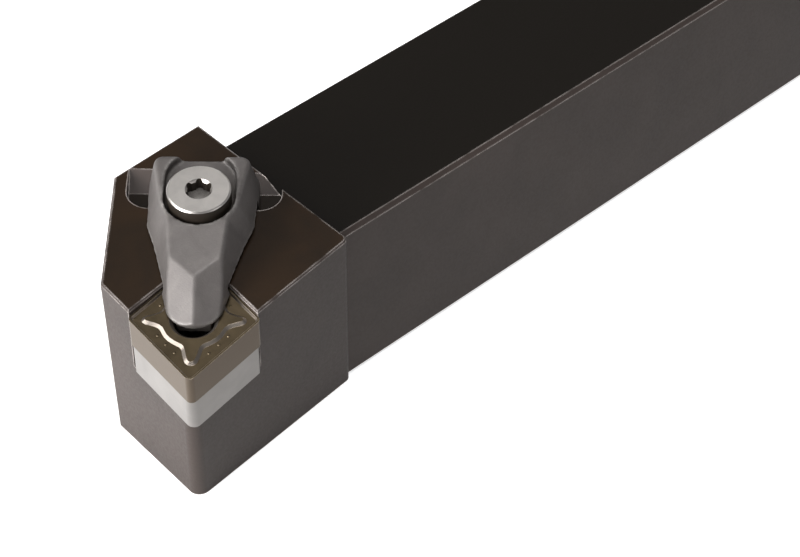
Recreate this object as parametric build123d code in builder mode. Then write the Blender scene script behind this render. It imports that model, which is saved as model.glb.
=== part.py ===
"""External turning tool holder, right hand, with a square shank and a clamped 80 degree insert.

Millimetres and degrees. The origin is under the middle of the tool at the height of the shank's
bottom face. +X runs from the cutting tip to the shank's end, -Y is the cutting side, +Z is up.
"""

from build123d import *
import os
from math import atan2, cos, radians, sin, tan

# ---------------------------------------------------------------- tool, to the ISO size code
overall_length = 150.0
functional_width = 32.0  # shank's back face to the cutting tip
tip_height = 25.0
shank_height = 25.0
shank_width = 25.0
shank_edge_chamfer = 0.6
shank_end_chamfer = 1.0
lead_angle = 5.0  # both cutting edges lead by this much
rake_angle = 6.0  # the insert tips down across its side edge
inclination_angle = 6.0  # and along it

# ---------------------------------------------------------------- insert and the shim below it
inscribed_circle = 12.7
corner_angle = 80.0
insert_thickness = 4.76
nose_radius = 0.8
insert_hole_diameter = 5.16
hole_rim_chamfer = 0.5
edge_land = 0.25
groove_depth = 0.32
groove_outer_slope = 62.0
groove_inner_slope = 38.0
# a quarter of the chip breaker's island, from the insert's middle: a wavy ridge from nose to flank
island_outline = [
    (-6.75, 0.0),
    (-6.68, 0.22),
    (-6.5, 0.4),
    (-6.1, 0.55),
    (-5.5, 0.72),
    (-4.8, 0.86),
    (-4.35, 1.0),
    (-4.0, 1.28),
    (-3.75, 1.68),
    (-3.4, 2.26),
    (-3.0, 2.76),
    (-2.45, 3.24),
    (-1.8, 3.56),
    (-1.3, 3.8),
    (-0.92, 4.2),
    (-0.66, 4.75),
    (-0.42, 5.4),
    (-0.3, 5.85),
    (-0.16, 6.03),
    (0.0, 6.08),
]
shim_thickness = 5.1
shim_nose_radius = 1.1
shim_corner_chamfer = 0.5
shim_wall_gap = 0.3
shim_hole_diameter = 5.6
shim_countersink_diameter = 7.6
shim_countersink_angle = 90.0

# ---------------------------------------------------------------- head of the holder
head_length = 30.0  # tip to the step behind the head, at tip height
head_top_step = 0.8  # head's top above the middle of the insert
head_top_rise_length = 2.75
head_top_rise_width = 5.1
head_side_inset = 0.75  # head's flanks stand back from the insert's
head_front_inset = 0.35
head_corner_cut = 15.1  # 45 degree cut off the corner between front and back
head_tip_radius = 1.5
head_rear_radius = 1.0
head_edge_chamfer = 0.25
pocket_corner_relief = 0.9

# ---------------------------------------------------------------- shim screw
shim_screw_diameter = 5.0
shim_screw_reach = 7.0  # thread below the pocket's floor
shim_screw_sink = 0.3  # head below the shim's top
thread_clearance = 0.05
shim_screw_socket = 2.5
shim_screw_socket_depth = 1.4

# ---------------------------------------------------------------- clamp screw and spring
screw_distance = 25.4  # tip corner to the screw's axis, along the clamp
screw_diameter = 5.0
screw_head_diameter = 8.15
screw_head_height = 2.7
screw_head_chamfer = 0.2
screw_length = 19.0  # under the head
screw_tip_chamfer = 0.7
lobe_across = 3.5
lobe_radius = 0.48
lobe_root_radius = 1.45
socket_depth = 1.7
socket_lead_in = 0.3
thread_depth = 3.0  # tapped hole beyond the screw's end
spring_wire = 0.7
spring_turns = 4.0
spring_mean_diameter = 6.2
spring_wall_gap = 0.3
spring_seat_depth = 5.0  # below the insert's top plane
spring_end_gap = 0.05

# ---------------------------------------------------------------- clamp, measured from the screw's axis
clamp_height = 5.4  # above the insert's top plane, beside the screw
clamp_front = 17.5  # half widths: at the foot and at the top
clamp_front_half_width = 2.86
clamp_front_top_half_width = 2.6
clamp_waist = 10.4
clamp_waist_half_width = 4.6
clamp_waist_top_half_width = 2.9
clamp_flank = 4.5
clamp_flank_top = 3.5
clamp_flank_half_width = 6.1
clamp_flank_top_half_width = 3.85
clamp_shoulder = 1.1
clamp_shoulder_half_width = 7.1
clamp_shoulder_top_half_width = 4.8
clamp_rear = 7.0  # behind the axis, at the top
clamp_rear_half_width = 7.1
clamp_rear_top_half_width = 6.3
clamp_rear_lean = 13.0
clamp_rear_corner = 1.2
clamp_top_break = 3.9  # the top slopes down from here to the brow
clamp_brow = 12.2
clamp_brow_height = 4.2
clamp_roof_run = 2.8  # the nose's two roof facets end this far behind the brow, at its sides
clamp_roof_half_width = 3.0
clamp_nose_height = 1.0
clamp_nose_radius = 3.77
clamp_nose_setback = 2.12  # centre of the nose behind the insert's hole
clamp_pad_end = 11.5
clamp_edge_radius = 0.6
clamp_gap = 0.45  # clamp's underside above the head
counterbore_diameter = 9.0
counterbore_depth = 1.3
counterbore_travel = 3.5  # the screw's seat is a slot, so that the clamp can draw back
clamp_hole_diameter = 5.6
clamp_hole_travel = 1.0
lug_diameter = 4.5
lug_depth = 1.8
lug_front = 0.6  # in front of the hole's centre
lug_gap = 0.3

# ---------------------------------------------------------------- heel of the clamp and its slot
heel_front = 4.0
heel_gap = 0.3  # above the slot's floor
heel_slot_start = 2.8
heel_slot_floor = 4.4
heel_slot_depth = 2.2
heel_slot_half_length = 10.0
heel_slot_radius = 3.0
heel_slope = 34.0

# ---------------------------------------------------------------- the insert's plane
tip_x = -overall_length / 2
back_y = functional_width / 2
half_corner = corner_angle / 2
bisector_angle = lead_angle + half_corner
edge_length = inscribed_circle / sin(radians(corner_angle))
half_diagonal = edge_length * cos(radians(half_corner))
rear_corner = 2 * half_diagonal

# The size code measures to the rounded nose, so the sharp corner lies a little outside it.
overhang_x = nose_radius * (cos(radians(bisector_angle)) / sin(radians(half_corner)) - 1)
overhang_y = nose_radius * (sin(radians(bisector_angle)) / sin(radians(half_corner)) - 1)
tip_corner = Vector(tip_x - overhang_x, -back_y - overhang_y, tip_height)

along = Vector(cos(radians(lead_angle)), sin(radians(lead_angle)), tan(radians(inclination_angle)))
across = Vector(-sin(radians(lead_angle)), cos(radians(lead_angle)), tan(radians(rake_angle)))
up = along.cross(across).normalized()
rise = Axis((0, 0, 0), up)

# side_plane has X along the side cutting edge and front_plane along the front one.
# insert_plane has X along the diagonal, from the cutting corner back to the clamp screw.
side_plane = Plane(origin=tip_corner, x_dir=along, z_dir=up)
front_plane = Plane(origin=tip_corner, x_dir=along.rotate(rise, corner_angle), z_dir=up)
insert_plane = Plane(origin=tip_corner, x_dir=along.rotate(rise, half_corner), z_dir=up)


def on_insert(u, v, w):
    """World place of a point u along the diagonal, v to its left and w above the insert."""
    return insert_plane.from_local_coords(Vector(u, v, w))


def level_at(u, w):
    """Plane parallel to the insert, centred u along the diagonal and w above the insert."""
    return Plane(origin=on_insert(u, 0, w), x_dir=insert_plane.x_dir, z_dir=up)


def section_at(u):
    """Plane square to the insert and along the diagonal, centred u along it, with Y up."""
    return Plane(origin=on_insert(u, 0, 0), x_dir=insert_plane.x_dir, z_dir=-insert_plane.y_dir)


def plane_through(p, q, r):
    """Plane through three points, facing up."""
    normal = (q - p).cross(r - p).normalized()
    return Plane(origin=p, z_dir=normal if normal.Z > 0 else -normal)


def rhombus(inset, rear_gap=0.0):
    """Outline of the insert's corners, drawn in by inset, or by rear_gap at the rear sides alone."""
    side = edge_length - (2 * inset + rear_gap) / sin(radians(corner_angle))
    start = inset / sin(radians(half_corner))
    middle = start + side * cos(radians(half_corner))
    half_width = side * sin(radians(half_corner))
    return [(start, 0), (middle, -half_width), (2 * middle - start, 0), (middle, half_width)]


# ---------------------------------------------------------------- head of the holder
head_top = Plane(
    origin=on_insert(half_diagonal, 0, head_top_step),
    z_dir=Vector(-tan(radians(head_top_rise_length)), -tan(radians(head_top_rise_width)), 1),
)
head_side = Plane(
    origin=side_plane.from_local_coords(Vector(0, head_side_inset, 0)), z_dir=-side_plane.y_dir
)
head_front = Plane(
    origin=front_plane.from_local_coords(Vector(0, -head_front_inset, 0)), z_dir=front_plane.y_dir
)
head_rear = Plane(
    origin=Vector(tip_x + head_length, 0, tip_height), z_dir=Vector(0, 1, 0).cross(up)
)
head_cut = Plane(origin=Vector(tip_x + head_corner_cut, back_y, 0), z_dir=Vector(-1, 1, 0))

margin = 6.0  # what is cut away reaches this far past the head
block_length = head_length + 2 * margin
block_width = functional_width + margin
pocket_depth = insert_thickness + shim_thickness
pocket_reach = edge_length + margin
pocket_wall_u = rear_corner - pocket_reach * cos(radians(half_corner))
pocket_wall_v = pocket_reach * sin(radians(half_corner))

with BuildPart() as head:
    with BuildSketch(Plane.XY):
        with Locations((tip_x - margin + block_length / 2, back_y - block_width / 2)):
            Rectangle(block_length, block_width)
    extrude(amount=tip_height + 2 * margin)
    for face_plane in (head_top, head_side, head_front, head_rear, head_cut):
        split(bisect_by=face_plane, keep=Keep.BOTTOM)
    fillet(head.edges().filter_by(rise).sort_by(Axis.X)[0], head_tip_radius)
    fillet(head.edges().filter_by(rise).sort_by(Axis.X)[-1], head_rear_radius)
    # pocket: open to the front and the side, walled behind the insert's two rear sides
    with BuildSketch(insert_plane.offset(-pocket_depth)):
        with BuildLine():
            Polyline(
                (rear_corner, 0),
                (pocket_wall_u, pocket_wall_v),
                (-margin, pocket_wall_v),
                (-margin, -pocket_wall_v),
                (pocket_wall_u, -pocket_wall_v),
                close=True,
            )
        make_face()
        with Locations((rear_corner, 0)):
            Circle(pocket_corner_relief)
    extrude(amount=pocket_depth + margin, mode=Mode.SUBTRACT)
    chamfer(head.faces().sort_by(Axis((0, 0, 0), head_top.z_dir))[-1].edges(), head_edge_chamfer)

# ---------------------------------------------------------------- slot for the clamp's heel
slot_start_u = screw_distance + heel_slot_start
slot_floor_end_u = slot_start_u + heel_slot_floor
slot_rise = heel_slot_depth + margin / 2
slot_run = slot_rise / tan(radians(heel_slope))

with BuildPart() as heel_slot:
    with BuildSketch(section_at(0)):
        with BuildLine():
            Polyline(
                (slot_start_u, -heel_slot_depth),
                (slot_floor_end_u, -heel_slot_depth),
                (slot_floor_end_u + slot_run, slot_rise - heel_slot_depth),
                (slot_start_u, slot_rise - heel_slot_depth),
                close=True,
            )
        make_face()
    extrude(amount=heel_slot_half_length, both=True)
    fillet(heel_slot.edges().filter_by(rise), heel_slot_radius)

# ---------------------------------------------------------------- holder body
screw_seat = clamp_height - counterbore_depth
screw_end = screw_seat - screw_length
spring_seat_radius = (spring_mean_diameter + spring_wire) / 2 + spring_wall_gap

with BuildPart() as holder_body:
    with BuildSketch(Plane.YZ.offset(tip_x + head_length - shank_width / 2)):
        with Locations((back_y - shank_width / 2, shank_height / 2)):
            Rectangle(shank_width, shank_height)
        chamfer(vertices(), shank_edge_chamfer)
    extrude(amount=overall_length - head_length + shank_width / 2)
    chamfer(holder_body.faces().sort_by(Axis.X)[-1].edges(), shank_end_chamfer)
    add(head.part)
    add(heel_slot.part, mode=Mode.SUBTRACT)
    # tapped hole for the shim screw
    with BuildSketch(level_at(half_diagonal, -pocket_depth)):
        Circle(shim_screw_diameter / 2)
    extrude(amount=-(shim_screw_reach + thread_depth), mode=Mode.SUBTRACT)
    # spring seat and tapped hole for the clamp screw
    with BuildSketch(level_at(screw_distance, -spring_seat_depth)):
        Circle(spring_seat_radius)
    extrude(amount=spring_seat_depth + margin, mode=Mode.SUBTRACT)
    with BuildSketch(level_at(screw_distance, 0)):
        Circle(screw_diameter / 2)
    extrude(amount=screw_end - thread_depth, mode=Mode.SUBTRACT)

# ---------------------------------------------------------------- shim and its screw
with BuildPart() as shim:
    with BuildSketch(insert_plane.offset(-insert_thickness)):
        with BuildLine():
            Polyline(*rhombus(0, shim_wall_gap), close=True)
        make_face()
        chamfer(vertices().sort_by(Axis.X)[1:], shim_corner_chamfer)
        fillet(vertices().sort_by(Axis.X)[0], shim_nose_radius)
    extrude(amount=-shim_thickness)
    with Locations(level_at(half_diagonal, -insert_thickness).location):
        CounterSinkHole(
            shim_hole_diameter / 2,
            shim_countersink_diameter / 2,
            counter_sink_angle=shim_countersink_angle,
        )

shim_screw_top = -insert_thickness - shim_screw_sink
shim_screw_radius = shim_screw_diameter / 2 - thread_clearance
shim_cone_slope = tan(radians(shim_countersink_angle / 2))
shim_head_radius = shim_countersink_diameter / 2 - shim_screw_sink * shim_cone_slope
shim_head_end = shim_screw_top - (shim_head_radius - shim_screw_radius) / shim_cone_slope

with BuildPart() as shim_screw:
    with BuildSketch(section_at(half_diagonal)):
        with BuildLine():
            Polyline(
                (0, shim_screw_top),
                (shim_head_radius, shim_screw_top),
                (shim_screw_radius, shim_head_end),
                (shim_screw_radius, -pocket_depth - shim_screw_reach + screw_tip_chamfer),
                (shim_screw_radius - screw_tip_chamfer, -pocket_depth - shim_screw_reach),
                (0, -pocket_depth - shim_screw_reach),
                close=True,
            )
        make_face()
    revolve(axis=Axis(on_insert(half_diagonal, 0, 0), up))
    with BuildSketch(level_at(half_diagonal, shim_screw_top)):
        RegularPolygon(shim_screw_socket / 2, 6, major_radius=False)
    extrude(amount=-shim_screw_socket_depth, mode=Mode.SUBTRACT)

# ---------------------------------------------------------------- insert
# Upper half first: a land along the edge, a groove inside it, and the chip breaker's raised island.
groove_outer_taper = 90 - groove_outer_slope
groove_inner_taper = 90 - groove_inner_slope

with BuildPart() as insert:
    with BuildSketch(insert_plane):
        with BuildLine():
            Polyline(*rhombus(0), close=True)
        make_face()
        fillet(vertices(), nose_radius)
    extrude(amount=-insert_thickness / 2)
    with BuildSketch(insert_plane):
        with BuildLine():
            Polyline(*rhombus(edge_land), close=True)
        make_face()
        fillet(vertices(), nose_radius - edge_land)
    extrude(amount=-groove_depth, taper=groove_outer_taper, mode=Mode.SUBTRACT)
    with BuildSketch(level_at(half_diagonal, 0)):
        with BuildLine():
            Polyline(*island_outline)
            mirror(about=Plane.YZ)
            mirror(about=Plane.XZ)
        make_face()
    extrude(amount=-groove_depth, taper=-groove_inner_taper)
    with BuildSketch(insert_plane.offset(-insert_thickness / 2)):
        with Locations((half_diagonal, 0)):
            Circle(insert_hole_diameter / 2)
    extrude(amount=insert_thickness, mode=Mode.SUBTRACT)
    hole_rims = insert.edges().filter_by(GeomType.CIRCLE).group_by(SortBy.RADIUS)[-1]
    chamfer(hole_rims.sort_by(rise)[-1], hole_rim_chamfer)
    mirror(about=insert_plane.offset(-insert_thickness / 2))

# ---------------------------------------------------------------- clamp
rear_top_u = screw_distance + clamp_rear
rear_foot_u = rear_top_u + clamp_height * tan(radians(clamp_rear_lean))
foot_outline = [
    (screw_distance - clamp_front, clamp_front_half_width),
    (screw_distance - clamp_waist, clamp_waist_half_width),
    (screw_distance - clamp_flank, clamp_flank_half_width),
    (screw_distance - clamp_shoulder, clamp_shoulder_half_width),
    (rear_foot_u, clamp_rear_half_width),
]
top_outline = [
    (screw_distance - clamp_front, clamp_front_top_half_width),
    (screw_distance - clamp_waist, clamp_waist_top_half_width),
    (screw_distance - clamp_flank_top, clamp_flank_top_half_width),
    (screw_distance - clamp_shoulder, clamp_shoulder_top_half_width),
    (rear_top_u, clamp_rear_top_half_width),
]

# The nose is rounded in plan, and its circle runs into the clamp's flanks without a corner.
nose_centre_u = half_diagonal + clamp_nose_setback
flank_angle = atan2(clamp_waist_half_width - clamp_front_half_width, clamp_front - clamp_waist)
nose_end_u = nose_centre_u - clamp_nose_radius * sin(flank_angle)
nose_tip = on_insert(nose_centre_u - clamp_nose_radius, 0, clamp_nose_height)

# The top slopes down from beside the screw to the brow, where the nose's two roof facets start.
brow_u = screw_distance - clamp_brow
top_slope = (clamp_height - clamp_brow_height) / (clamp_brow - clamp_top_break)
brow = on_insert(brow_u, 0, clamp_brow_height)
brow_left = on_insert(brow_u, clamp_roof_half_width, clamp_brow_height)
top_break = on_insert(screw_distance - clamp_top_break, 0, clamp_height)
roof_side_u = brow_u + clamp_roof_run
roof_side_w = clamp_brow_height + clamp_roof_run * top_slope

# Heights of the middles of the creases, by which they are told from the other edges.
foot_rise = Axis(tip_corner, up)
nose_crease_middle = (clamp_nose_height + clamp_brow_height) / 2
flank_crease_middle = clamp_height / 2
crease_slack = 0.05

# Underneath, a pad lies on the insert, and the rest runs just above the head, back to the heel.
pad_end_u = screw_distance - clamp_pad_end
heel_front_u = screw_distance + heel_front
heel_foot = heel_gap - heel_slot_depth
heel_back = plane_through(
    on_insert(slot_floor_end_u, 0, -heel_slot_depth),
    on_insert(slot_floor_end_u + slot_run, 0, slot_rise - heel_slot_depth),
    on_insert(slot_floor_end_u, heel_slot_half_length, -heel_slot_depth),
)
lug_centre_u = half_diagonal + (insert_hole_diameter - lug_diameter) / 2 - lug_gap


def underside(u):
    """Height of the clamp's underside above the insert, at u along the diagonal."""
    foot = on_insert(u, 0, 0)
    return (head_top.origin - foot).dot(head_top.z_dir) / up.dot(head_top.z_dir) + clamp_gap


def both_sides(half):
    """Closed outline from its left half, front to rear."""
    return half + [(u, -v) for u, v in reversed(half)]


with BuildPart() as clamp:
    for level, outline in ((0, foot_outline), (clamp_height, top_outline)):
        with BuildSketch(insert_plane.offset(level)):
            with BuildLine():
                Polyline(*both_sides(outline), close=True)
            make_face()
            fillet(vertices().sort_by(Axis.X)[-2:], clamp_rear_corner)
    loft(ruled=True)
    with BuildSketch(insert_plane.offset(-margin)):
        with Locations((nose_centre_u, 0)):
            Circle(clamp_nose_radius)
        with Locations((nose_end_u, 0)):
            Rectangle(block_length, block_width, align=(Align.MIN, Align.CENTER))
    extrude(amount=clamp_height + 2 * margin, mode=Mode.INTERSECT)
    # top and roof facets
    split(bisect_by=plane_through(brow, brow_left, top_break), keep=Keep.BOTTOM)
    for side in (-clamp_roof_half_width, clamp_roof_half_width):
        roof = plane_through(brow, nose_tip, on_insert(roof_side_u, side, roof_side_w))
        split(bisect_by=roof, keep=Keep.BOTTOM)
    # every upper edge is rounded as cast, all but the creases down the flanks and along the nose
    clamp_edges = clamp.edges()
    upper_edges = clamp_edges.filter_by_position(foot_rise, clamp_nose_height / 2, clamp_height)
    creases = clamp_edges.filter_by_position(
        foot_rise, nose_crease_middle - crease_slack, flank_crease_middle + crease_slack
    )
    fillet(upper_edges - creases, clamp_edge_radius)
    # relief above the head, then the heel behind it and the lug in the insert's hole
    with BuildSketch(section_at(0)):
        with BuildLine():
            Polyline(
                (pad_end_u, -margin),
                (pad_end_u, underside(pad_end_u)),
                (heel_front_u, underside(heel_front_u)),
                (heel_front_u, -margin),
                close=True,
            )
        make_face()
    extrude(amount=block_width, both=True, mode=Mode.SUBTRACT)
    with BuildSketch(level_at(heel_front_u, heel_foot)):
        Rectangle(
            rear_foot_u - heel_front_u, 2 * clamp_rear_half_width, align=(Align.MIN, Align.CENTER)
        )
        fillet(vertices().sort_by(Axis.X)[-2:], clamp_rear_corner)
    extrude(amount=-heel_foot)
    split(bisect_by=heel_back, keep=Keep.TOP)
    with BuildSketch(level_at(lug_centre_u, 0)):
        Circle(lug_diameter / 2)
        with Locations((half_diagonal - lug_front - lug_centre_u, 0)):
            Rectangle(
                lug_diameter, lug_diameter, align=(Align.MAX, Align.CENTER), mode=Mode.SUBTRACT
            )
    extrude(amount=-lug_depth)
    # the screw's seat and hole are slots, open to the rear at the top
    with BuildSketch(level_at(screw_distance, screw_seat)):
        with Locations((counterbore_travel / 2, 0)):
            SlotCenterToCenter(counterbore_travel, counterbore_diameter)
    extrude(amount=margin, mode=Mode.SUBTRACT)
    with BuildSketch(level_at(screw_distance, -margin)):
        with Locations((clamp_hole_travel / 2, 0)):
            SlotCenterToCenter(clamp_hole_travel, clamp_hole_diameter)
    extrude(amount=margin + clamp_height, mode=Mode.SUBTRACT)

# ---------------------------------------------------------------- clamp screw
screw_radius = screw_diameter / 2 - thread_clearance
screw_head_radius = screw_head_diameter / 2
screw_top = screw_seat + screw_head_height

with BuildPart() as clamp_screw:
    with BuildSketch(section_at(screw_distance)):
        with BuildLine():
            Polyline(
                (0, screw_end),
                (screw_radius - screw_tip_chamfer, screw_end),
                (screw_radius, screw_end + screw_tip_chamfer),
                (screw_radius, screw_seat),
                (screw_head_radius, screw_seat),
                (screw_head_radius, screw_top - screw_head_chamfer),
                (screw_head_radius - screw_head_chamfer, screw_top),
                (0, screw_top),
                close=True,
            )
        make_face()
    revolve(axis=Axis(on_insert(screw_distance, 0, 0), up))
    # six-lobe socket with a tapered mouth
    with BuildSketch(level_at(screw_distance, screw_top)):
        Circle(lobe_root_radius)
        with PolarLocations(lobe_across / 2 - lobe_radius, 6):
            Circle(lobe_radius)
    extrude(amount=-socket_depth, mode=Mode.SUBTRACT)
    with BuildSketch(level_at(screw_distance, screw_top)):
        Circle(lobe_across / 2)
    extrude(amount=-socket_lead_in, taper=45, mode=Mode.SUBTRACT)

# ---------------------------------------------------------------- spring that lifts the clamp
spring_top = underside(screw_distance + spring_seat_radius) - spring_end_gap
spring_length = spring_top + spring_seat_depth

with BuildPart() as clamp_spring:
    with BuildLine():
        coil = Helix(
            spring_length / spring_turns,
            spring_length,
            spring_mean_diameter / 2,
            center=on_insert(screw_distance, 0, -spring_seat_depth),
            direction=up,
        )
    # a hexagon stands for the round wire and keeps the coil's faces few
    with BuildSketch(Plane(origin=coil @ 0, z_dir=coil % 0)):
        RegularPolygon(spring_wire / 2, 6)
    sweep(is_frenet=True)
    # both ends are ground flat
    split(bisect_by=level_at(screw_distance, -spring_seat_depth), keep=Keep.TOP)
    split(bisect_by=level_at(screw_distance, spring_top), keep=Keep.BOTTOM)

# ---------------------------------------------------------------- write the pieces
os.makedirs("parts", exist_ok=True)
pieces = {
    "holder_body": holder_body,
    "shim": shim,
    "shim_screw": shim_screw,
    "insert": insert,
    "clamp": clamp,
    "clamp_screw": clamp_screw,
    "clamp_spring": clamp_spring,
}
for label, piece in pieces.items():
    piece.part.label = label
    export_step(piece.part, f"parts/{label}.step")
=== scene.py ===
"""Turning tool holder: finishes, fine detail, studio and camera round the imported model."""

import logging
import math
from abc import ABC, abstractmethod
from dataclasses import dataclass, replace
from enum import Enum

import bpy
from mathutils import Matrix, Vector


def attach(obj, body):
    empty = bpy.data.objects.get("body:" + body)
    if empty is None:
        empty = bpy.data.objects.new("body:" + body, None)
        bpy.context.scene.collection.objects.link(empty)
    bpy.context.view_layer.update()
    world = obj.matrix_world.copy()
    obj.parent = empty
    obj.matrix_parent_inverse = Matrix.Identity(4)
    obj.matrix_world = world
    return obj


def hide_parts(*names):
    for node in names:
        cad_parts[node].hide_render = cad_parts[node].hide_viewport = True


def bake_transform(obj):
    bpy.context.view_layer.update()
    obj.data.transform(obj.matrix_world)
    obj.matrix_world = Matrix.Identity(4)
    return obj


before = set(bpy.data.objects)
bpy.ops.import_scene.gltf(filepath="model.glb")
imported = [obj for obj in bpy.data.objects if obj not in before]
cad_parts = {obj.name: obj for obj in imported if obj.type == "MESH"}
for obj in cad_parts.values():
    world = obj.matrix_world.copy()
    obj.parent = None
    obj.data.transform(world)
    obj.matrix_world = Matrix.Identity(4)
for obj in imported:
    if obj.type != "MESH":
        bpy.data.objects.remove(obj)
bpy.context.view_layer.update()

MM = 0.001
NEAR = 0.01 * MM  # closer than this counts as touching
ORIGIN = (0.0, 0.0, 0.0)
STRAIGHT_UP = (0.0, 0.0, 1.0)
WHITE = (1.0, 1.0, 1.0, 1.0)

Colour = tuple[float, float, float]
Point = tuple[float, float, float]
Socket = bpy.types.NodeSocket
Node = bpy.types.Node
Piece = bpy.types.Object
log = logging.getLogger("tool_holder")


# ---------------------------------------------------------------- where the insert lies
# directions of the insert, from the cutting corner: over its middle, to its left, out of its face
CORNER = Vector((-75.08, -16.08, 25.0)) * MM
ALONG = Vector((0.69622, 0.70273, 0.14645))
ACROSS = Vector((-0.71159, 0.70250, 0.01200))
UP = Vector((-0.09445, -0.11257, 0.98915))
HEAD_TOP = Vector((-0.0478, -0.0888, 0.9949))  # out of the top of the holder's head
SCREW_DISTANCE = 25.4 * MM  # from the cutting corner to the clamp screw's axis
INSERT_MIDDLE = 9.88 * MM  # from the cutting corner to the insert's middle


def on_insert(along: float, across: float, height: float) -> Vector:
    """A point from the cutting corner, over the insert's middle, to its left and out of its face."""
    return CORNER + along * ALONG + across * ACROSS + height * UP


def insert_place(along: float, across: float, height: float) -> Matrix:
    """The placement at such a point, turned to the insert's own directions."""
    turn = Matrix((ALONG, ACROSS, UP)).transposed().to_4x4()
    return Matrix.Translation(on_insert(along, across, height)) @ turn


class Body(Enum):
    """The moving bodies that pieces ride on."""

    HOLDER = "holder"
    CLAMP = "clamp"
    SCREW = "clamp_screw"


class Slot(Enum):
    """The material slots of the record."""

    BODY = "dark_steel"
    SHIM = "shim_steel"
    INSERT = "coated_carbide"
    CLAMP = "cast_clamp"
    SCREW = "screw_steel"
    SPRING = "spring_steel"


# ---------------------------------------------------------------- shader node groups
class NodeSheet:
    """A node tree with short calls for the nodes that the finishes are drawn with."""

    MIX_FIRST, MIX_SECOND, MIXED = 6, 7, 2  # the colour sockets of a Mix node

    def __init__(self, tree: bpy.types.NodeTree) -> None:
        """Works on that tree."""
        self.tree = tree

    def node(self, kind: str, **settings: object) -> Node:
        """Adds a node.

        Args:
            kind: Blender's type name of the node.
            settings: properties of the node.

        Returns:
            The new node.
        """
        made = self.tree.nodes.new(kind)
        for key, value in settings.items():
            setattr(made, key, value)
        return made

    def feed(self, socket: Socket, value: object) -> None:
        """Gives an input socket its value or its link.

        Args:
            socket: the input socket.
            value: a number, a colour, a vector or another node's output.
        """
        if isinstance(value, bpy.types.NodeSocket):
            self.tree.links.new(value, socket)
        else:
            socket.default_value = value

    def math(self, operation: str, first: object, second: object = 0.0) -> Socket:
        """Adds a Math node.

        Args:
            operation: what the node does.
            first: a number or an output socket.
            second: a number or an output socket.

        Returns:
            The node's output.
        """
        made = self.node("ShaderNodeMath", operation=operation)
        self.feed(made.inputs[0], first)
        self.feed(made.inputs[1], second)
        return made.outputs[0]

    def vector_math(self, operation: str, first: object, second: object = ORIGIN) -> Node:
        """Adds a Vector Math node.

        Args:
            operation: what the node does.
            first: a vector or an output socket.
            second: a vector or an output socket.

        Returns:
            The node, whose outputs are Vector and Value.
        """
        made = self.node("ShaderNodeVectorMath", operation=operation)
        self.feed(made.inputs[0], first)
        self.feed(made.inputs[1], second)
        return made

    def facing(self, direction: object) -> Socket:
        """How squarely the surface faces a direction: 1 straight at it, -1 away from it."""
        normal = self.node("ShaderNodeNewGeometry").outputs["Normal"]
        return self.vector_math("DOT_PRODUCT", normal, direction).outputs["Value"]

    def ramp(
        self, value: object, low: float = 0.0, high: float = 1.0, start: float = 0.0, end: float = 1.0
    ) -> Socket:
        """Adds a clamped Map Range node.

        Args:
            value: the number or output that is mapped.
            low: the value that becomes start.
            high: the value that becomes end.
            start: result at low.
            end: result at high.

        Returns:
            The node's output.
        """
        made = self.node("ShaderNodeMapRange")
        names = ("Value", "From Min", "From Max", "To Min", "To Max")
        for name, given in zip(names, (value, low, high, start, end)):
            self.feed(made.inputs[name], given)
        return made.outputs["Result"]

    def mix(self, amount: object, first: object, second: object) -> Socket:
        """Adds a colour mix.

        Args:
            amount: share of the second colour.
            first: a colour or an output socket.
            second: a colour or an output socket.

        Returns:
            The mixed colour.
        """
        made = self.node("ShaderNodeMix", data_type="RGBA")
        self.feed(made.inputs["Factor"], amount)
        self.feed(made.inputs[self.MIX_FIRST], first)
        self.feed(made.inputs[self.MIX_SECOND], second)
        return made.outputs[self.MIXED]

    def noise(self, vector: Socket, scale: object, detail: float, distortion: float = 0.0) -> Socket:
        """Adds a noise texture.

        Args:
            vector: coordinates.
            scale: cells per metre.
            detail: octaves.
            distortion: how far the pattern is pulled about.

        Returns:
            Its value output.
        """
        made = self.node("ShaderNodeTexNoise")
        self.feed(made.inputs["Vector"], vector)
        self.feed(made.inputs["Scale"], scale)
        made.inputs["Detail"].default_value = detail
        made.inputs["Distortion"].default_value = distortion
        return made.outputs["Fac"]

    def group(self, tree: bpy.types.NodeTree, place: Socket, **values: float) -> Node:
        """Places a shared node group.

        Args:
            tree: the group.
            place: coordinates for it.
            values: numbers for its named inputs.

        Returns:
            The group's node.
        """
        made = self.node("ShaderNodeGroup", node_tree=tree)
        self.feed(made.inputs["Vector"], place)
        for key, value in values.items():
            made.inputs[key].default_value = value
        return made

    def mapped(self, vector: Socket, scale: Point) -> Socket:
        """Stretches coordinates.

        Args:
            vector: coordinates.
            scale: factor along each axis.

        Returns:
            The stretched coordinates.
        """
        made = self.node("ShaderNodeMapping")
        self.feed(made.inputs["Vector"], vector)
        made.inputs["Scale"].default_value = scale
        return made.outputs["Vector"]


class GroupSheet(NodeSheet):
    """A shader node group under construction."""

    def __init__(self, name: str, inputs: dict[str, float], outputs: tuple[str, ...]) -> None:
        """Starts a group.

        Args:
            name: the group's name.
            inputs: number inputs with their defaults; a vector input called Vector is always there.
            outputs: names of the value outputs.
        """
        super().__init__(bpy.data.node_groups.new(name, "ShaderNodeTree"))
        face = self.tree.interface
        face.new_socket(name="Vector", in_out="INPUT", socket_type="NodeSocketVector")
        for key, value in inputs.items():
            face.new_socket(name=key, in_out="INPUT", socket_type="NodeSocketFloat").default_value = value
        for key in outputs:
            face.new_socket(name=key, in_out="OUTPUT", socket_type="NodeSocketFloat")
        self.given = self.node("NodeGroupInput").outputs
        self.result = self.node("NodeGroupOutput").inputs


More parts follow.
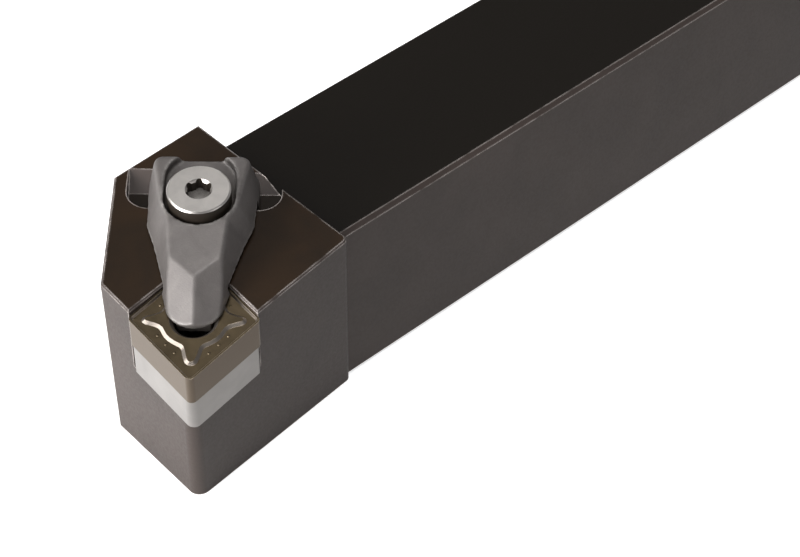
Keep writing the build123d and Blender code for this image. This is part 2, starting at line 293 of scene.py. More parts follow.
class Effects:
    """The node groups that the finishes share, made once."""

    def __init__(self) -> None:
        """Builds every group."""
        self.edge_wear_and_highlight = self.edge_wear_and_highlight_group()
        self.mottle = self.mottle_group()
        self.grain = self.grain_group()
        self.strokes = self.strokes_group()
        self.recess_shade = self.recess_shade_group()

    @staticmethod
    def edge_wear_and_highlight_group() -> bpy.types.NodeTree:
        """Mask of bright edges, partly scuffed bare and partly a painted highlight, broken up by noise.

        Returns:
            The group.
        """
        sheet = GroupSheet("edge wear", {"Radius": 0.2 * MM, "Breakup": 900.0}, ("Mask",))
        rounded = sheet.node("ShaderNodeBevel", samples=6)
        sheet.feed(rounded.inputs["Radius"], sheet.given["Radius"])
        turned = sheet.math("SUBTRACT", 1.0, sheet.facing(rounded.outputs["Normal"]))
        # partly painted highlight, partly scuffed bare: the edges found by the Bevel node are lightened
        edge = sheet.ramp(turned, low=0.01, high=0.08)
        patches = sheet.noise(sheet.given["Vector"], sheet.given["Breakup"], detail=4.0)
        broken = sheet.ramp(patches, low=0.3, high=0.55)
        sheet.feed(sheet.result["Mask"], sheet.math("MULTIPLY", edge, broken))
        return sheet.tree

    @staticmethod
    def mottle_group() -> bpy.types.NodeTree:
        """Uneven tone of a treated surface: broad clouds with finer spots over them.

        Returns:
            The group.
        """
        sheet = GroupSheet("mottle", {"Scale": 120.0, "Spots": 2500.0}, ("Clouds", "Spots"))
        clouds = sheet.noise(sheet.given["Vector"], sheet.given["Scale"], detail=5.0, distortion=0.6)
        spots = sheet.noise(sheet.given["Vector"], sheet.given["Spots"], detail=3.0)
        sheet.feed(sheet.result["Clouds"], sheet.ramp(clouds, low=0.3, high=0.7))
        sheet.feed(sheet.result["Spots"], sheet.ramp(spots, low=0.35, high=0.65))
        return sheet.tree

    @staticmethod
    def grain_group() -> bpy.types.NodeTree:
        """Height of a fine pitted grain, as on a casting or a blasted surface.

        Returns:
            The group.
        """
        sheet = GroupSheet("grain", {"Scale": 3000.0, "Pits": 1400.0}, ("Height",))
        grain = sheet.noise(sheet.given["Vector"], sheet.given["Scale"], detail=4.0)
        pits = sheet.node("ShaderNodeTexVoronoi")
        sheet.feed(pits.inputs["Vector"], sheet.given["Vector"])
        sheet.feed(pits.inputs["Scale"], sheet.given["Pits"])
        hollow = sheet.ramp(pits.outputs["Distance"], high=0.35)
        sheet.feed(sheet.result["Height"], sheet.math("MULTIPLY", grain, hollow))
        return sheet.tree

    @staticmethod
    def strokes_group() -> bpy.types.NodeTree:
        """Height of long parallel strokes along X, as a cutter or a grinding wheel leaves them.

        Returns:
            The group.
        """
        sheet = GroupSheet("strokes", {"Scale": 2500.0}, ("Height",))
        long = sheet.mapped(sheet.given["Vector"], (0.02, 1.0, 1.0))
        short = sheet.mapped(sheet.given["Vector"], (0.08, 0.5, 0.5))
        fine = sheet.noise(long, sheet.given["Scale"], detail=2.0)
        coarse = sheet.noise(short, sheet.given["Scale"], detail=2.0)
        sheet.feed(sheet.result["Height"], sheet.math("ADD", fine, coarse))
        return sheet.tree

    @staticmethod
    def recess_shade_group() -> bpy.types.NodeTree:
        """Mask of the corners and recesses that get painted shade, found by ambient occlusion and made
        uneven by noise.

        Returns:
            The group.
        """
        sheet = GroupSheet("recess_shade", {"Reach": 1.2 * MM}, ("Mask",))
        shelter = sheet.node("ShaderNodeAmbientOcclusion", samples=6)
        sheet.feed(shelter.inputs["Distance"], sheet.given["Reach"])
        # painted shade: the more enclosed a point is, the darker it is painted
        closed = sheet.ramp(shelter.outputs["AO"], low=0.25, high=0.8, start=1.0, end=0.0)
        patches = sheet.noise(sheet.given["Vector"], 900.0, detail=3.0)
        uneven = sheet.ramp(patches, low=0.2, high=0.6, start=0.6)
        sheet.feed(sheet.result["Mask"], sheet.math("MULTIPLY", closed, uneven))
        return sheet.tree


EFFECTS = Effects()


# ---------------------------------------------------------------- finishes
def rgba(colour: Colour) -> tuple[float, float, float, float]:
    """An opaque colour for a socket."""
    return (*colour, 1.0)


@dataclass(frozen=True)
class Finish(ABC):
    """What every finish has.

    Attributes:
        name: name of its material.
        colour: main colour.
        roughness: of the surface.
        metallic: how much it shines as bare metal does.
        cloud: brightness of its darker clouds, as a share of the main colour.
        relief: depth of the pattern that roughens it.
    """

    name: str
    colour: Colour
    roughness: float
    metallic: float
    cloud: float
    relief: float

    def material(self) -> bpy.types.Material:
        """Makes and paints the finish's material the first time.

        Returns:
            The material.
        """
        known = bpy.data.materials.get(self.name)
        if known:
            return known
        made = bpy.data.materials.new(self.name)
        made.use_nodes = True
        sheet = NodeSheet(made.node_tree)
        shader = made.node_tree.nodes["Principled BSDF"]
        shader.inputs["Metallic"].default_value = self.metallic
        shader.inputs["Roughness"].default_value = self.roughness
        place = sheet.node("ShaderNodeTexCoord").outputs["Object"]
        self.paint(sheet, shader, place)
        return made

    @abstractmethod
    def paint(self, sheet: NodeSheet, shader: Node, place: Socket) -> None:
        """Draws the finish.

        Args:
            sheet: the material's nodes.
            shader: the material's shader.
            place: the object's coordinates.
        """

    def darker(self) -> tuple[float, float, float, float]:
        """The colour of the darker clouds."""
        return rgba(tuple(self.cloud * part for part in self.colour))

    def clouded(self, sheet: NodeSheet, mottle: Node) -> Socket:
        """The main colour with its darker clouds."""
        return sheet.mix(mottle.outputs["Clouds"], self.darker(), rgba(self.colour))

    def bump(self, sheet: NodeSheet, shader: Node, height: Socket) -> None:
        """Roughens the surface with a height pattern.

        Args:
            sheet: the material's nodes.
            shader: the material's shader.
            height: the pattern, from 0 to 1.
        """
        made = sheet.node("ShaderNodeBump")
        made.inputs["Distance"].default_value = self.relief
        sheet.feed(made.inputs["Height"], height)
        sheet.feed(shader.inputs["Normal"], made.outputs["Normal"])


@dataclass(frozen=True)
class OxidisedSteel(Finish):
    """Milled steel under a dark oxide: cutter strokes, a brown cloudy film on top, upward faces painted
    darker as shade, bright edges.

    Attributes:
        brown: the film on the head's top.
        top: darker colour painted on every upward face as shade, since the tops are lit only at a grazing
            angle.
        worn_and_highlight: bright colour along the edges, partly bare steel and partly painted highlight.
    """

    brown: Colour
    top: Colour
    worn_and_highlight: Colour

    def paint(self, sheet: NodeSheet, shader: Node, place: Socket) -> None:
        """Draws the oxide.

        Args:
            sheet: the material's nodes.
            shader: the material's shader.
            place: the object's coordinates.
        """
        mottle = sheet.group(EFFECTS.mottle, place, Scale=110.0, Spots=2600.0)
        # bright edges: partly scuffed bare steel, partly painted highlight
        wear_and_highlight = sheet.group(EFFECTS.edge_wear_and_highlight, place, Radius=0.3 * MM, Breakup=500.0)
        strokes = sheet.group(EFFECTS.strokes, place, Scale=2600.0)
        # painted shade: faces that look up take the darker top colour and a weaker reflection
        on_top = sheet.ramp(sheet.facing(STRAIGHT_UP), low=0.85, high=0.95)
        on_head = sheet.ramp(sheet.facing(HEAD_TOP), low=0.998, high=0.9995)
        browned = sheet.math("MULTIPLY", on_head, sheet.ramp(mottle.outputs["Clouds"], start=0.35))
        worn_and_highlight = wear_and_highlight.outputs["Mask"]
        toned = sheet.mix(on_top, self.clouded(sheet, mottle), rgba(self.top))
        toned = sheet.mix(browned, toned, rgba(self.brown))
        sheet.feed(shader.inputs["Base Color"], sheet.mix(worn_and_highlight, toned, rgba(self.worn_and_highlight)))
        sheet.feed(shader.inputs["Metallic"], sheet.ramp(worn_and_highlight, start=self.metallic, end=0.8))
        sheet.feed(shader.inputs["Specular IOR Level"], sheet.ramp(on_top, start=0.5, end=0.25))
        smoother, rougher = self.roughness - 0.05, self.roughness + 0.05
        spotted = sheet.ramp(mottle.outputs["Spots"], start=smoother, end=rougher)
        sheet.feed(shader.inputs["Roughness"], spotted)
        self.bump(sheet, shader, strokes.outputs["Height"])


@dataclass(frozen=True)
class CastSteel(Finish):
    """Fine matt casting: pitted grain, uneven tone, bright edges that are partly scuffed and partly
    painted highlight, and painted shade in the corners.

    Attributes:
        worn_and_highlight: colour of the bright edges, partly scuffed and partly painted highlight.
        recess_shade_colour: colour of the painted shade in the corners and recesses.
    """

    worn_and_highlight: Colour
    recess_shade_colour: Colour

    def paint(self, sheet: NodeSheet, shader: Node, place: Socket) -> None:
        """Draws the casting's skin.

        Args:
            sheet: the material's nodes.
            shader: the material's shader.
            place: the object's coordinates.
        """
        mottle = sheet.group(EFFECTS.mottle, place, Scale=320.0, Spots=2600.0)
        wear_and_highlight = sheet.group(EFFECTS.edge_wear_and_highlight, place, Radius=0.8 * MM, Breakup=900.0)
        grain = sheet.group(EFFECTS.grain, place, Scale=5200.0, Pits=2800.0)
        # painted shade: corners and recesses darken to a near-black colour
        recess_shade = sheet.group(EFFECTS.recess_shade, place, Reach=2.5 * MM)
        speckle = sheet.math("MULTIPLY", mottle.outputs["Spots"], 0.35)
        # bright edges: partly scuffed, partly painted highlight
        rubbed_and_highlight = sheet.math("MULTIPLY", wear_and_highlight.outputs["Mask"], 0.7)
        toned = sheet.mix(speckle, self.clouded(sheet, mottle), self.darker())
        toned = sheet.mix(rubbed_and_highlight, toned, rgba(self.worn_and_highlight))
        recess_shaded = sheet.mix(recess_shade.outputs["Mask"], toned, rgba(self.recess_shade_colour))
        sheet.feed(shader.inputs["Base Color"], recess_shaded)
        self.bump(sheet, shader, grain.outputs["Height"])


@dataclass(frozen=True)
class TurnedSteel(Finish):
    """Lathe-turned steel: fine rings round an axis square to the insert, painted shade in its recesses and
    darker side faces.

    Attributes:
        centre: a point on the axis.
        shade_and_side_colour: near-black colour of the painted shade in the recesses, also given to the
            side faces.
    """

    centre: Point
    shade_and_side_colour: Colour

    def paint(self, sheet: NodeSheet, shader: Node, place: Socket) -> None:
        """Draws the rings and the oil.

        Args:
            sheet: the material's nodes.
            shader: the material's shader.
            place: the object's coordinates.
        """
        offset = sheet.vector_math("SUBTRACT", place, self.centre).outputs["Vector"]
        level = sheet.vector_math("DOT_PRODUCT", offset, UP).outputs["Value"]
        across = sheet.vector_math("CROSS_PRODUCT", offset, UP).outputs["Vector"]
        radius = sheet.vector_math("LENGTH", across).outputs["Value"]
        rings = sheet.node("ShaderNodeCombineXYZ")
        sheet.feed(rings.inputs["X"], radius)
        sheet.feed(rings.inputs["Y"], level)
        grooves = sheet.noise(rings.outputs[0], 9000.0, detail=2.0)
        mottle = sheet.group(EFFECTS.mottle, place, Scale=500.0, Spots=3500.0)
        recess_shade = sheet.group(EFFECTS.recess_shade, place, Reach=4.0 * MM)
        on_end = sheet.math("ABSOLUTE", sheet.facing(UP))
        on_side = sheet.ramp(on_end, low=0.3, high=0.6, start=1.0, end=0.0)
        # darkens the recesses as painted shade, and the side faces as well
        shade_and_side = sheet.math("MAXIMUM", recess_shade.outputs["Mask"], on_side)
        toned = sheet.mix(shade_and_side, self.clouded(sheet, mottle), rgba(self.shade_and_side_colour))
        sheet.feed(shader.inputs["Base Color"], toned)
        sheet.feed(shader.inputs["Metallic"], sheet.ramp(shade_and_side, start=self.metallic, end=0.2))
        self.bump(sheet, shader, grooves)


@dataclass(frozen=True)
class GroundSteel(Finish):
    """Surface-ground steel: long fine strokes along the tool."""

    def paint(self, sheet: NodeSheet, shader: Node, place: Socket) -> None:
        """Draws the ground surface.

        Args:
            sheet: the material's nodes.
            shader: the material's shader.
            place: the object's coordinates.
        """
        strokes = sheet.group(EFFECTS.strokes, place, Scale=4200.0)
        mottle = sheet.group(EFFECTS.mottle, place, Scale=300.0, Spots=3000.0)
        sheet.feed(shader.inputs["Base Color"], self.clouded(sheet, mottle))
        self.bump(sheet, shader, strokes.outputs["Height"])


@dataclass(frozen=True)
class CoatedCarbide(Finish):
    """Sintered carbide with a bronze coating; the flanks get a lighter, greyer colour than the faces.

    Attributes:
        flank: colour of the flanks.
        slope_highlight: lighter colour painted on the chip breaker's slopes as their highlight.
        worn_and_highlight: colour of the bright edges, partly scuffed and partly painted highlight.
    """

    flank: Colour
    slope_highlight: Colour
    worn_and_highlight: Colour

    def paint(self, sheet: NodeSheet, shader: Node, place: Socket) -> None:
        """Draws the coating.

        Args:
            sheet: the material's nodes.
            shader: the material's shader.
            place: the object's coordinates.
        """
        mottle = sheet.group(EFFECTS.mottle, place, Scale=420.0, Spots=4200.0)
        wear_and_highlight = sheet.group(EFFECTS.edge_wear_and_highlight, place, Radius=0.12 * MM, Breakup=1500.0)
        grain = sheet.group(EFFECTS.grain, place, Scale=5200.0, Pits=3400.0)
        level = sheet.math("ABSOLUTE", sheet.facing(UP))
        on_face = sheet.ramp(level, low=0.25, high=0.6)
        # painted highlight: the chip breaker's slopes take a lighter colour
        on_slope = sheet.ramp(level, low=0.97, high=0.88)
        face = sheet.mix(on_slope, self.clouded(sheet, mottle), rgba(self.slope_highlight))
        toned = sheet.mix(on_face, rgba(self.flank), face)
        # bright edges: partly scuffed, partly painted highlight
        rubbed_and_highlight = sheet.mix(wear_and_highlight.outputs["Mask"], toned, rgba(self.worn_and_highlight))
        sheet.feed(shader.inputs["Base Color"], rubbed_and_highlight)
        self.bump(sheet, shader, grain.outputs["Height"])


# ---------------------------------------------------------------- modelling bench
class Bench:
    """Short calls for modelling by operators."""

    @staticmethod
    def clear() -> None:
        """Leaves edit mode and selects nothing."""
        if bpy.context.object and bpy.context.object.mode != "OBJECT":
            bpy.ops.object.mode_set(mode="OBJECT")
        bpy.ops.object.select_all(action="DESELECT")

    @staticmethod
    def pick(*pieces: Piece) -> None:
        """Selects pieces and nothing else.

        Args:
            pieces: the pieces, of which the first becomes the active one.
        """
        Bench.clear()
        for piece in pieces:
            piece.select_set(True)
        bpy.context.view_layer.objects.active = pieces[0]

    @staticmethod
    def apply(piece: Piece, kind: str, **settings: object) -> None:
        """Adds a modifier to a piece and applies it.

        Args:
            piece: the piece.
            kind: Blender's type name of the modifier.
            settings: properties of the modifier.
        """
        Bench.pick(piece)
        made = piece.modifiers.new(kind.title(), kind)
        for key, value in settings.items():
            setattr(made, key, value)
        bpy.ops.object.modifier_apply(modifier=made.name)

    @staticmethod
    def smooth(piece: Piece, angle: float) -> None:
        """Smooths the shading of a piece between faces that meet at less than angle degrees."""
        Bench.pick(piece)
        bpy.ops.object.shade_smooth_by_angle(angle=math.radians(angle))

    @staticmethod
    def copy_node(node: str, name: str) -> Piece:
        """Makes a merged copy of a CAD node, with flat faces in one piece each.

        Args:
            node: the CAD node.
            name: the new piece's name.

        Returns:
            The copy, at the origin.
        """
        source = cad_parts[node]
        piece = source.copy()
        piece.data = source.data.copy()
        piece.name = name
        piece.parent = None
        piece.matrix_world = Matrix.Identity(4)
        bpy.context.scene.collection.objects.link(piece)
        Bench.pick(piece)
        if piece.data.has_custom_normals:
            bpy.ops.mesh.customdata_custom_splitnormals_clear()
        bpy.ops.object.mode_set(mode="EDIT")
        bpy.ops.mesh.select_all(action="SELECT")
        bpy.ops.mesh.remove_doubles(threshold=0.002 * MM)
        bpy.ops.mesh.dissolve_limited(angle_limit=math.radians(0.4))
        bpy.ops.object.mode_set(mode="OBJECT")
        return piece

    @staticmethod
    def close_ends(piece: Piece) -> None:
        """Closes the two open ends of a coil and turns its faces outwards.

        Args:
            piece: the coil.
        """
        Bench.pick(piece)
        bpy.ops.object.mode_set(mode="EDIT")
        bpy.ops.mesh.select_mode(type="EDGE")
        bpy.ops.mesh.select_all(action="DESELECT")
        bpy.ops.mesh.select_non_manifold()
        bpy.ops.mesh.fill_holes(sides=0)
        bpy.ops.mesh.select_all(action="SELECT")
        bpy.ops.mesh.normals_make_consistent(inside=False)
        bpy.ops.object.mode_set(mode="OBJECT")

    @staticmethod
    def dress(piece: Piece, finish: Finish) -> None:
        """Gives a piece its finish in place of any other."""
        piece.data.materials.clear()
        piece.data.materials.append(finish.material())

    @staticmethod
    def hand_over(piece: Piece, slot: Slot) -> None:
        """Reports a piece's name and its number of faces."""
        log.info("built %s: %d faces", piece.name, len(piece.data.polygons))


# ---------------------------------------------------------------- pieces
@dataclass
class Dressed:
    """A CAD node rebuilt in a finer shape, with its own finish.

    Attributes:
        node: the CAD node that it stands for.
        body: body that it rides on.
        slot: material slot of the record.
        finish: its finish.
    """

    node: str
    body: Body
    slot: Slot
    finish: Finish

    def copy(self) -> Piece:
        """Copies the node under the new piece's name."""
        return Bench.copy_node(self.node, self.node + "_dressed")

    def settle(self, piece: Piece) -> None:
        """Dresses the piece, puts it on its body and hides the node behind it.

        Args:
            piece: the finished shape.
        """
        Bench.dress(piece, self.finish)
        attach(piece, self.body.value)
        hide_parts(self.node)
        Bench.hand_over(piece, self.slot)


@dataclass
class Refined(Dressed):
    """A CAD node rebuilt with softened edges.

    Attributes:
        edge: width of the softened edges.
        edge_angle: edges sharper than this many degrees are softened.
        smooth_angle: faces that meet at less than this many degrees are shaded as one.
    """

    edge: float
    edge_angle: float = 35.0
    smooth_angle: float = 30.0

    def build(self) -> Piece:
        """Makes the piece.

        Returns:
            The piece.
        """
        piece = self.copy()
        Bench.apply(
            piece,
            "BEVEL",
            width=self.edge,
            segments=2,
            limit_method="ANGLE",
            angle_limit=math.radians(self.edge_angle),
            use_clamp_overlap=True,
        )
        Bench.smooth(piece, self.smooth_angle)
        Bench.apply(piece, "WEIGHTED_NORMAL", keep_sharp=True)
        self.settle(piece)
        return piece


@dataclass
class ThreadedScrew(Refined):
    """A screw whose shank is turned down to its core, with its thread wound round it.

    Attributes:
        axis: distance of its axis from the cutting corner, over the insert's middle.
        seat: level of the shank's upper end, from the insert's face.
        foot: level of the thread's lower end, likewise.
        turns: whole turns of the thread.
        outside: diameter of the shank and of the thread.
        core: diameter at the thread's root.
        pitch: rise of one turn.
        facets: steps of the thread in one turn.
    """

    axis: float = SCREW_DISTANCE
    seat: float = 4.1 * MM
    foot: float = -13.9 * MM
    turns: int = 21
    outside: float = 4.9 * MM
    core: float = 4.05 * MM
    pitch: float = 0.8 * MM
    facets: int = 28

    def copy(self) -> Piece:
        """Copies the node and turns its shank down to the core.

        Returns:
            The copy.
        """
        piece = super().copy()
        seat = insert_place(self.axis, 0.0, self.seat)
        piece.data.transform(seat.inverted())
        Bench.pick(piece)
        bpy.ops.object.mode_set(mode="EDIT")
        bpy.ops.mesh.select_mode(type="VERT")
        bpy.ops.mesh.select_all(action="DESELECT")
        bpy.ops.object.mode_set(mode="OBJECT")
        for corner in piece.data.vertices:
            corner.select = corner.co.z < NEAR and corner.co.xy.length < self.outside / 2 + NEAR
        bpy.ops.object.mode_set(mode="EDIT")
        share = self.core / self.outside
        bpy.ops.transform.resize(value=(share, share, 1.0), center_override=ORIGIN)
        bpy.ops.object.mode_set(mode="OBJECT")
        piece.data.transform(seat)
        return piece

    def ridge(self) -> Piece:
        """Winds the thread's ridge round the core and closes its two ends.

        Returns:
            The thread.
        """
        inner, outer = self.core / 2 - NEAR, self.outside / 2
        root, crest = self.pitch * 7 / 16, self.pitch / 16
        outline = ((inner, 0.0, -root), (outer, 0.0, -crest), (outer, 0.0, crest), (inner, 0.0, root))
        name = self.node + "_thread"
        mesh = bpy.data.meshes.new(name)
        mesh.from_pydata(outline, [(0, 1), (1, 2), (2, 3), (3, 0)], [])
        piece = bpy.data.objects.new(name, mesh)
        bpy.context.scene.collection.objects.link(piece)
        steps = self.facets * self.turns
        height = self.pitch * self.turns
        angle = math.tau * self.turns
        Bench.apply(piece, "SCREW", angle=angle, screw_offset=height, steps=steps, render_steps=steps)
        Bench.close_ends(piece)
        piece.data.transform(insert_place(self.axis, 0.0, self.foot))
        return piece

    def build(self) -> Piece:
        """Makes the screw and its thread.

        Returns:
            The screw.
        """
        screw = super().build()
        thread = self.ridge()
        Bench.smooth(thread, self.smooth_angle)
        Bench.dress(thread, self.finish)
        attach(thread, self.body.value)
        Bench.hand_over(thread, self.slot)
        return screw


@dataclass
class Casting(Dressed):
    """A CAD node rebuilt as a casting: one skin whose every edge is softly rounded.

    Attributes:
        cell: size of the skin's cells, in millimetres.
        passes: rounds of smoothing, which set how soft the edges are.
        smooth_angle: faces that meet at less than this many degrees are shaded as one.
    """

    cell: float
    passes: int
    smooth_angle: float = 60.0

    def build(self) -> Piece:
        """Makes the piece, in millimetres while its skin is cast.

        Returns:
            The piece.
        """
        piece = self.copy()
        piece.data.transform(Matrix.Scale(1.0 / MM, 4))
        Bench.apply(piece, "REMESH", mode="VOXEL", voxel_size=self.cell)
        Bench.apply(piece, "SMOOTH", factor=0.5, iterations=self.passes)
        piece.data.transform(Matrix.Scale(MM, 4))
        Bench.smooth(piece, self.smooth_angle)
        self.settle(piece)
        return piece


@dataclass
class Spring:
    """Round-wire compression spring under the clamp.

    Attributes:
        finish: its finish.
        wire: diameter of the wire.
        mean: diameter of the coil at the wire's middle.
        turns: turns of the coil.
        foot: level of its lower end, from the insert's face.
        height: of the spring at rest.
        facets: steps of the coil in one turn.
        sides: steps round the wire.
        smooth_angle: faces that meet at less than this many degrees are shaded as one.
    """

    finish: Finish
    wire: float = 0.7 * MM
    mean: float = 6.2 * MM
    turns: float = 4.0
    foot: float = -5.0 * MM
    height: float = 5.4 * MM
    facets: int = 40
    sides: int = 12
    smooth_angle: float = 50.0

    def build(self) -> Piece:
        """Winds the spring round the screw's axis, between the body and the clamp.

        Returns:
            The spring.
        """
        Bench.clear()
        bpy.ops.mesh.primitive_circle_add(vertices=self.sides, radius=self.wire / 2, fill_type="NOTHING")
        piece = bpy.context.object
        piece.name = "clamp_spring_coil"
        bpy.ops.object.mode_set(mode="EDIT")
        bpy.ops.mesh.select_all(action="SELECT")
        bpy.ops.transform.rotate(
            value=math.radians(90.0), orient_axis="X", orient_type="GLOBAL", center_override=ORIGIN
        )
        bpy.ops.transform.translate(value=(self.mean / 2, 0.0, self.wire / 2))
        bpy.ops.object.mode_set(mode="OBJECT")
        steps = int(self.facets * self.turns)
        Bench.apply(
            piece,
            "SCREW",
            axis="Z",
            angle=math.tau * self.turns,
            screw_offset=self.height - self.wire,
            steps=steps,
            render_steps=steps,
            use_merge_vertices=True,
        )
        Bench.close_ends(piece)
        Bench.smooth(piece, self.smooth_angle)
        piece.data.transform(insert_place(SCREW_DISTANCE, 0.0, self.foot))
        Bench.dress(piece, self.finish)
        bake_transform(piece)
        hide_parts("clamp_spring")
        Bench.hand_over(piece, Slot.SPRING)
        return piece


@dataclass
class Beads:
    """Small round bumps pressed into the floor of the chip breaker's groove.

    Attributes:
        places: one quarter of them, from the insert's middle: along its diagonal and across it.
        finish: their finish.
        radius: of each bump.
        rise: height of each bump over the floor.
        floor: level of the groove's floor, from the insert's face.
        smooth_angle: faces that meet at less than this many degrees are shaded as one.
    """

    places: tuple[tuple[float, float], ...]
    finish: Finish
    radius: float = 0.2 * MM
    rise: float = 0.1 * MM
    floor: float = -0.32 * MM
    smooth_angle: float = 60.0

    def spots(self) -> list[tuple[float, float]]:
        """Every bump's place, mirrored over both diagonals."""
        return [(a * x, b * y) for x, y in self.places for a in (1, -1) for b in (1, -1)]

    def build(self) -> Piece:
        """Shapes one bump and copies it to every place.

        Returns:
            All the bumps as one piece.
        """
        Bench.clear()
        bpy.ops.mesh.primitive_uv_sphere_add(segments=16, ring_count=8, radius=self.radius)
        pattern = bpy.context.object
        bpy.ops.object.mode_set(mode="EDIT")
        bpy.ops.mesh.select_all(action="SELECT")
        bpy.ops.transform.resize(value=(1.0, 1.0, self.rise / self.radius))
        bpy.ops.object.mode_set(mode="OBJECT")
        copies = []
        for along, across in self.spots():
            copy = pattern.copy()
            copy.data = pattern.data.copy()
            copy.data.transform(insert_place(INSERT_MIDDLE + along, across, self.floor))
            bpy.context.scene.collection.objects.link(copy)
            copies.append(copy)
        bpy.data.objects.remove(pattern)
        Bench.pick(*copies)
        bpy.ops.object.join()
        beads = copies[0]
        beads.name = "chip_breaker_beads"
        Bench.smooth(beads, self.smooth_angle)
        Bench.dress(beads, self.finish)
        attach(beads, Body.HOLDER.value)
        Bench.hand_over(beads, Slot.INSERT)
        return beads


# ---------------------------------------------------------------- studio
@dataclass
class Lamp:
    """A softbox.

    Attributes:
        name: its name.
        place: its middle.
        width: level side.
        height: other side.
        power: in watts.
        target: what it points at.
    """

    name: str
    place: Point
    width: float
    height: float
    power: float
    target: Point = (-0.05, 0.0, 0.02)

    def build(self) -> bpy.types.Object:
        """Hangs the lamp and turns it to its target.

        Returns:
            The lamp.
        """
        data = bpy.data.lights.new(self.name, "AREA")
        data.shape = "RECTANGLE"
        data.size = self.width
        data.size_y = self.height
        data.energy = self.power
        lamp = bpy.data.objects.new(self.name, data)
        bpy.context.scene.collection.objects.link(lamp)
        lamp.location = self.place
        aim = Vector(self.target) - Vector(self.place)
        lamp.rotation_euler = aim.to_track_quat("-Z", "Y").to_euler()
        return lamp


@dataclass
class Camera:
    """The camera over the cutting end, almost level with the horizon.

    Attributes:
        place: its place.
        right: the direction to the right of its picture.
        above: the direction to the top of its picture.
        ahead: the direction that it looks in.
        lens: focal length in millimetres.
        width: width of its frame in millimetres.
    """

    place: Point
    right: Point
    above: Point
    ahead: Point
    lens: float
    width: float = 36.0

    def build(self) -> bpy.types.Object:
        """Sets up the camera and makes it the scene's own.

        Returns:
            The camera.
        """
        data = bpy.data.cameras.new("camera")
        data.lens = self.lens
        data.sensor_width = self.width
        data.clip_start = 1.0 * MM
        camera = bpy.data.objects.new("camera", data)
        bpy.context.scene.collection.objects.link(camera)
        turn = Matrix((Vector(self.right), Vector(self.above), -Vector(self.ahead))).transposed()
        camera.matrix_world = Matrix.Translation(self.place) @ turn.to_4x4()
        bpy.context.scene.camera = camera
        return camera


@dataclass
class Studio:
    """White table, soft lamps and the sky that the metal mirrors.

    Attributes:
        lamps: the soft lamps.
        camera: the camera.
        floor_size: side of the table.
        paper: tone of the table.
        dim_paper: darker tone of the table that the metal mirrors on the cutting side, painted shade for
            the tool's shadow there.
        dim_start: where the cutting side starts, along Y.
        dim_end: where it is as dim as it gets, along Y.
        camera_glow: glow of the table to the camera.
        mirror_glow: glow of the table that the metal mirrors.
        horizon: colour of the sky low down.
        zenith: colour of the sky overhead.
        horizon_top: height in the sky up to which the horizon's colour is full.
        zenith_foot: height in the sky from which the zenith's colour is full.
    """

    lamps: tuple[Lamp, ...]
    camera: Camera
    floor_size: float = 8.0
    paper: Colour = (0.8, 0.8, 0.8)
    dim_paper: Colour = (0.3, 0.3, 0.3)
    dim_start: float = 5.0 * MM
    dim_end: float = -30.0 * MM
    camera_glow: float = 0.75
    mirror_glow: float = 0.14
    horizon: Colour = (0.38, 0.38, 0.39)
    zenith: Colour = (0.07, 0.07, 0.072)
    horizon_top: float = 0.05
    zenith_foot: float = 0.6

    def floor(self) -> None:
        """Lays a white table that reads white to the camera and keeps the tool's shadow."""
        Bench.clear()
        bpy.ops.mesh.primitive_plane_add(size=self.floor_size, location=ORIGIN)
        table = bpy.context.object
        table.name = "studio_floor"
        made = bpy.data.materials.new("studio_paper")
        made.use_nodes = True
        sheet = NodeSheet(made.node_tree)
        shader = made.node_tree.nodes["Principled BSDF"]
        shader.inputs["Roughness"].default_value = 0.9
        shader.inputs["Specular IOR Level"].default_value = 0.0
        shader.inputs["Emission Color"].default_value = WHITE
        path = sheet.node("ShaderNodeLightPath").outputs
        mirrored = sheet.math("ADD", path["Is Glossy Ray"], path["Is Transmission Ray"])
        seen_glow = sheet.math("MULTIPLY", path["Is Camera Ray"], self.camera_glow)
        mirrored_glow = sheet.math("MULTIPLY", mirrored, self.mirror_glow)
        sheet.feed(shader.inputs["Emission Strength"], sheet.math("ADD", seen_glow, mirrored_glow))
        place = sheet.node("ShaderNodeSeparateXYZ")
        sheet.feed(place.inputs[0], sheet.node("ShaderNodeTexCoord").outputs["Object"])
        # painted shade: in reflections, the table on the cutting side turns darker, standing in for the
        # tool's shadow there
        cutting_side = sheet.ramp(place.outputs["Y"], low=self.dim_start, high=self.dim_end)
        dimmed = sheet.math("MULTIPLY", mirrored, cutting_side)
        tone = sheet.mix(dimmed, rgba(self.paper), rgba(self.dim_paper))
        sheet.feed(shader.inputs["Base Color"], tone)
        table.data.materials.append(made)

    def sky(self) -> None:
        """Colours the world: light grey round the horizon, dark overhead."""
        world = bpy.data.worlds.new("studio_sky")
        bpy.context.scene.world = world
        world.use_nodes = True
        sheet = NodeSheet(world.node_tree)
        back = world.node_tree.nodes["Background"]
        direction = sheet.node("ShaderNodeSeparateXYZ")
        sheet.feed(direction.inputs[0], sheet.node("ShaderNodeTexCoord").outputs["Generated"])
        height = sheet.ramp(direction.outputs["Z"], low=self.horizon_top, high=self.zenith_foot)
        sheet.feed(back.inputs["Color"], sheet.mix(height, rgba(self.horizon), rgba(self.zenith)))

    def build(self) -> None:
        """Builds the whole studio."""
        self.floor()
        self.sky()
        for lamp in self.lamps:
            lamp.build()
        self.camera.build()
        bpy.context.scene.view_settings.view_transform = "Standard"
        log.info("studio ready")


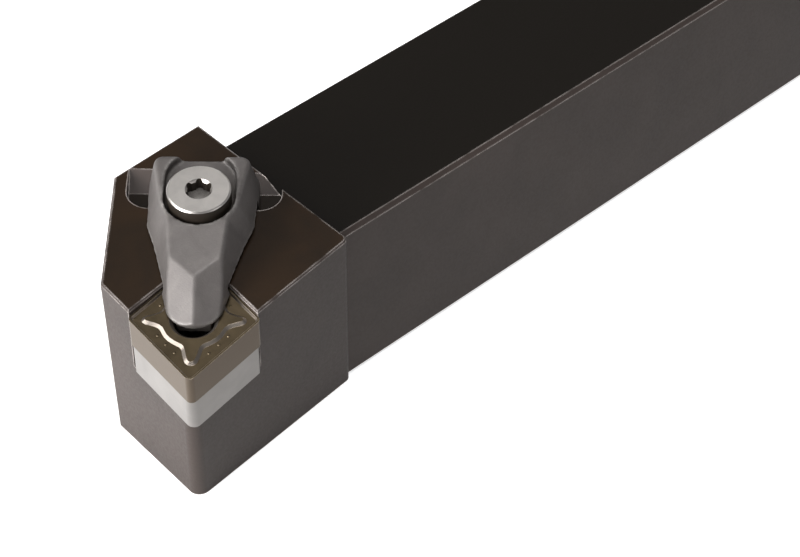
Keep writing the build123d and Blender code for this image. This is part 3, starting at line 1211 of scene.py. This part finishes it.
# ---------------------------------------------------------------- the tool
OXIDE = OxidisedSteel(
    name="dark_oxide",
    colour=(0.060, 0.045, 0.039),
    roughness=0.42,
    metallic=0.1,
    cloud=0.8,
    relief=0.003 * MM,
    brown=(0.027, 0.014, 0.006),
    top=(0.008, 0.006, 0.004),
    worn_and_highlight=(0.75, 0.68, 0.64),
)
CAST = CastSteel(
    name="cast_grey",
    colour=(0.165, 0.150, 0.143),
    roughness=0.48,
    metallic=0.4,
    cloud=0.72,
    relief=0.018 * MM,
    worn_and_highlight=(0.42, 0.40, 0.38),
    recess_shade_colour=(0.035, 0.028, 0.022),
)
TURNED = TurnedSteel(
    name="turned_steel",
    colour=(0.74, 0.70, 0.66),
    roughness=0.32,
    metallic=1.0,
    cloud=0.85,
    relief=0.006 * MM,
    centre=tuple(on_insert(SCREW_DISTANCE, 0.0, 0.0)),
    shade_and_side_colour=(0.028, 0.022, 0.017),
)
TURNED_SMALL = replace(TURNED, name="turned_steel_small", centre=tuple(on_insert(INSERT_MIDDLE, 0.0, 0.0)))
GROUND = GroundSteel(
    name="ground_steel",
    colour=(0.50, 0.475, 0.455),
    roughness=0.38,
    metallic=0.9,
    cloud=0.88,
    relief=0.004 * MM,
)
WIRE = replace(GROUND, name="spring_wire", colour=(0.45, 0.44, 0.43), roughness=0.3, metallic=1.0)
CARBIDE = CoatedCarbide(
    name="bronze_coating",
    colour=(0.128, 0.096, 0.056),
    roughness=0.28,
    metallic=0.85,
    cloud=0.7,
    relief=0.006 * MM,
    flank=(0.20, 0.158, 0.12),
    slope_highlight=(0.34, 0.295, 0.255),
    worn_and_highlight=(0.50, 0.42, 0.32),
)
BEAD = replace(CARBIDE, name="bronze_bead", slope_highlight=(0.16, 0.125, 0.08), worn_and_highlight=(0.2, 0.16, 0.11))

PIECES = (
    Refined("holder_body", Body.HOLDER, Slot.BODY, OXIDE, edge=0.10 * MM, edge_angle=30.0),
    Refined("shim", Body.HOLDER, Slot.SHIM, GROUND, edge=0.08 * MM, edge_angle=25.0),
    Refined("insert", Body.HOLDER, Slot.INSERT, CARBIDE, edge=0.04 * MM),
    Casting("clamp", Body.CLAMP, Slot.CLAMP, CAST, cell=0.15, passes=10),
    ThreadedScrew("clamp_screw", Body.SCREW, Slot.SCREW, TURNED, edge=0.06 * MM),
    ThreadedScrew(
        "shim_screw",
        Body.HOLDER,
        Slot.SCREW,
        TURNED_SMALL,
        edge=0.06 * MM,
        axis=INSERT_MIDDLE,
        seat=-6.11 * MM,
        foot=-15.9 * MM,
        turns=11,
    ),
    Beads(places=((-2.41 * MM, 4.35 * MM), (-3.81 * MM, 3.25 * MM), (-5.14 * MM, 2.11 * MM)), finish=BEAD),
    Spring(WIRE),
)

STUDIO = Studio(
    lamps=(
        Lamp("key_left", (-0.90, 0.02, 0.18), 0.4, 0.4, 11.5),
        Lamp("ridge_box", (-0.66, 0.26, 0.56), 1.0, 0.36, 5.0),
        Lamp("fill_right", (0.10, -0.85, 0.25), 0.5, 0.5, 0.6),
        Lamp("top_box", (0.26, 0.28, 0.76), 0.3, 0.3, 0.26),
        Lamp("above_box", (-0.10, -0.12, 0.75), 0.3, 0.3, 2.5),
    ),
    camera=Camera(
        place=(-0.215253, -0.199063, 0.240665),
        right=(0.71765, -0.69637, -0.00633),
        above=(0.46063, 0.46785, 0.75428),
        ahead=(0.52230, 0.54423, -0.65652),
        lens=117.2,
    ),
)


def main() -> None:
    """Builds every piece and the studio."""
    logging.basicConfig(level=logging.INFO, format="%(name)s: %(message)s")
    for piece in PIECES:
        piece.build()
    STUDIO.build()


if __name__ == "__main__":
    main()
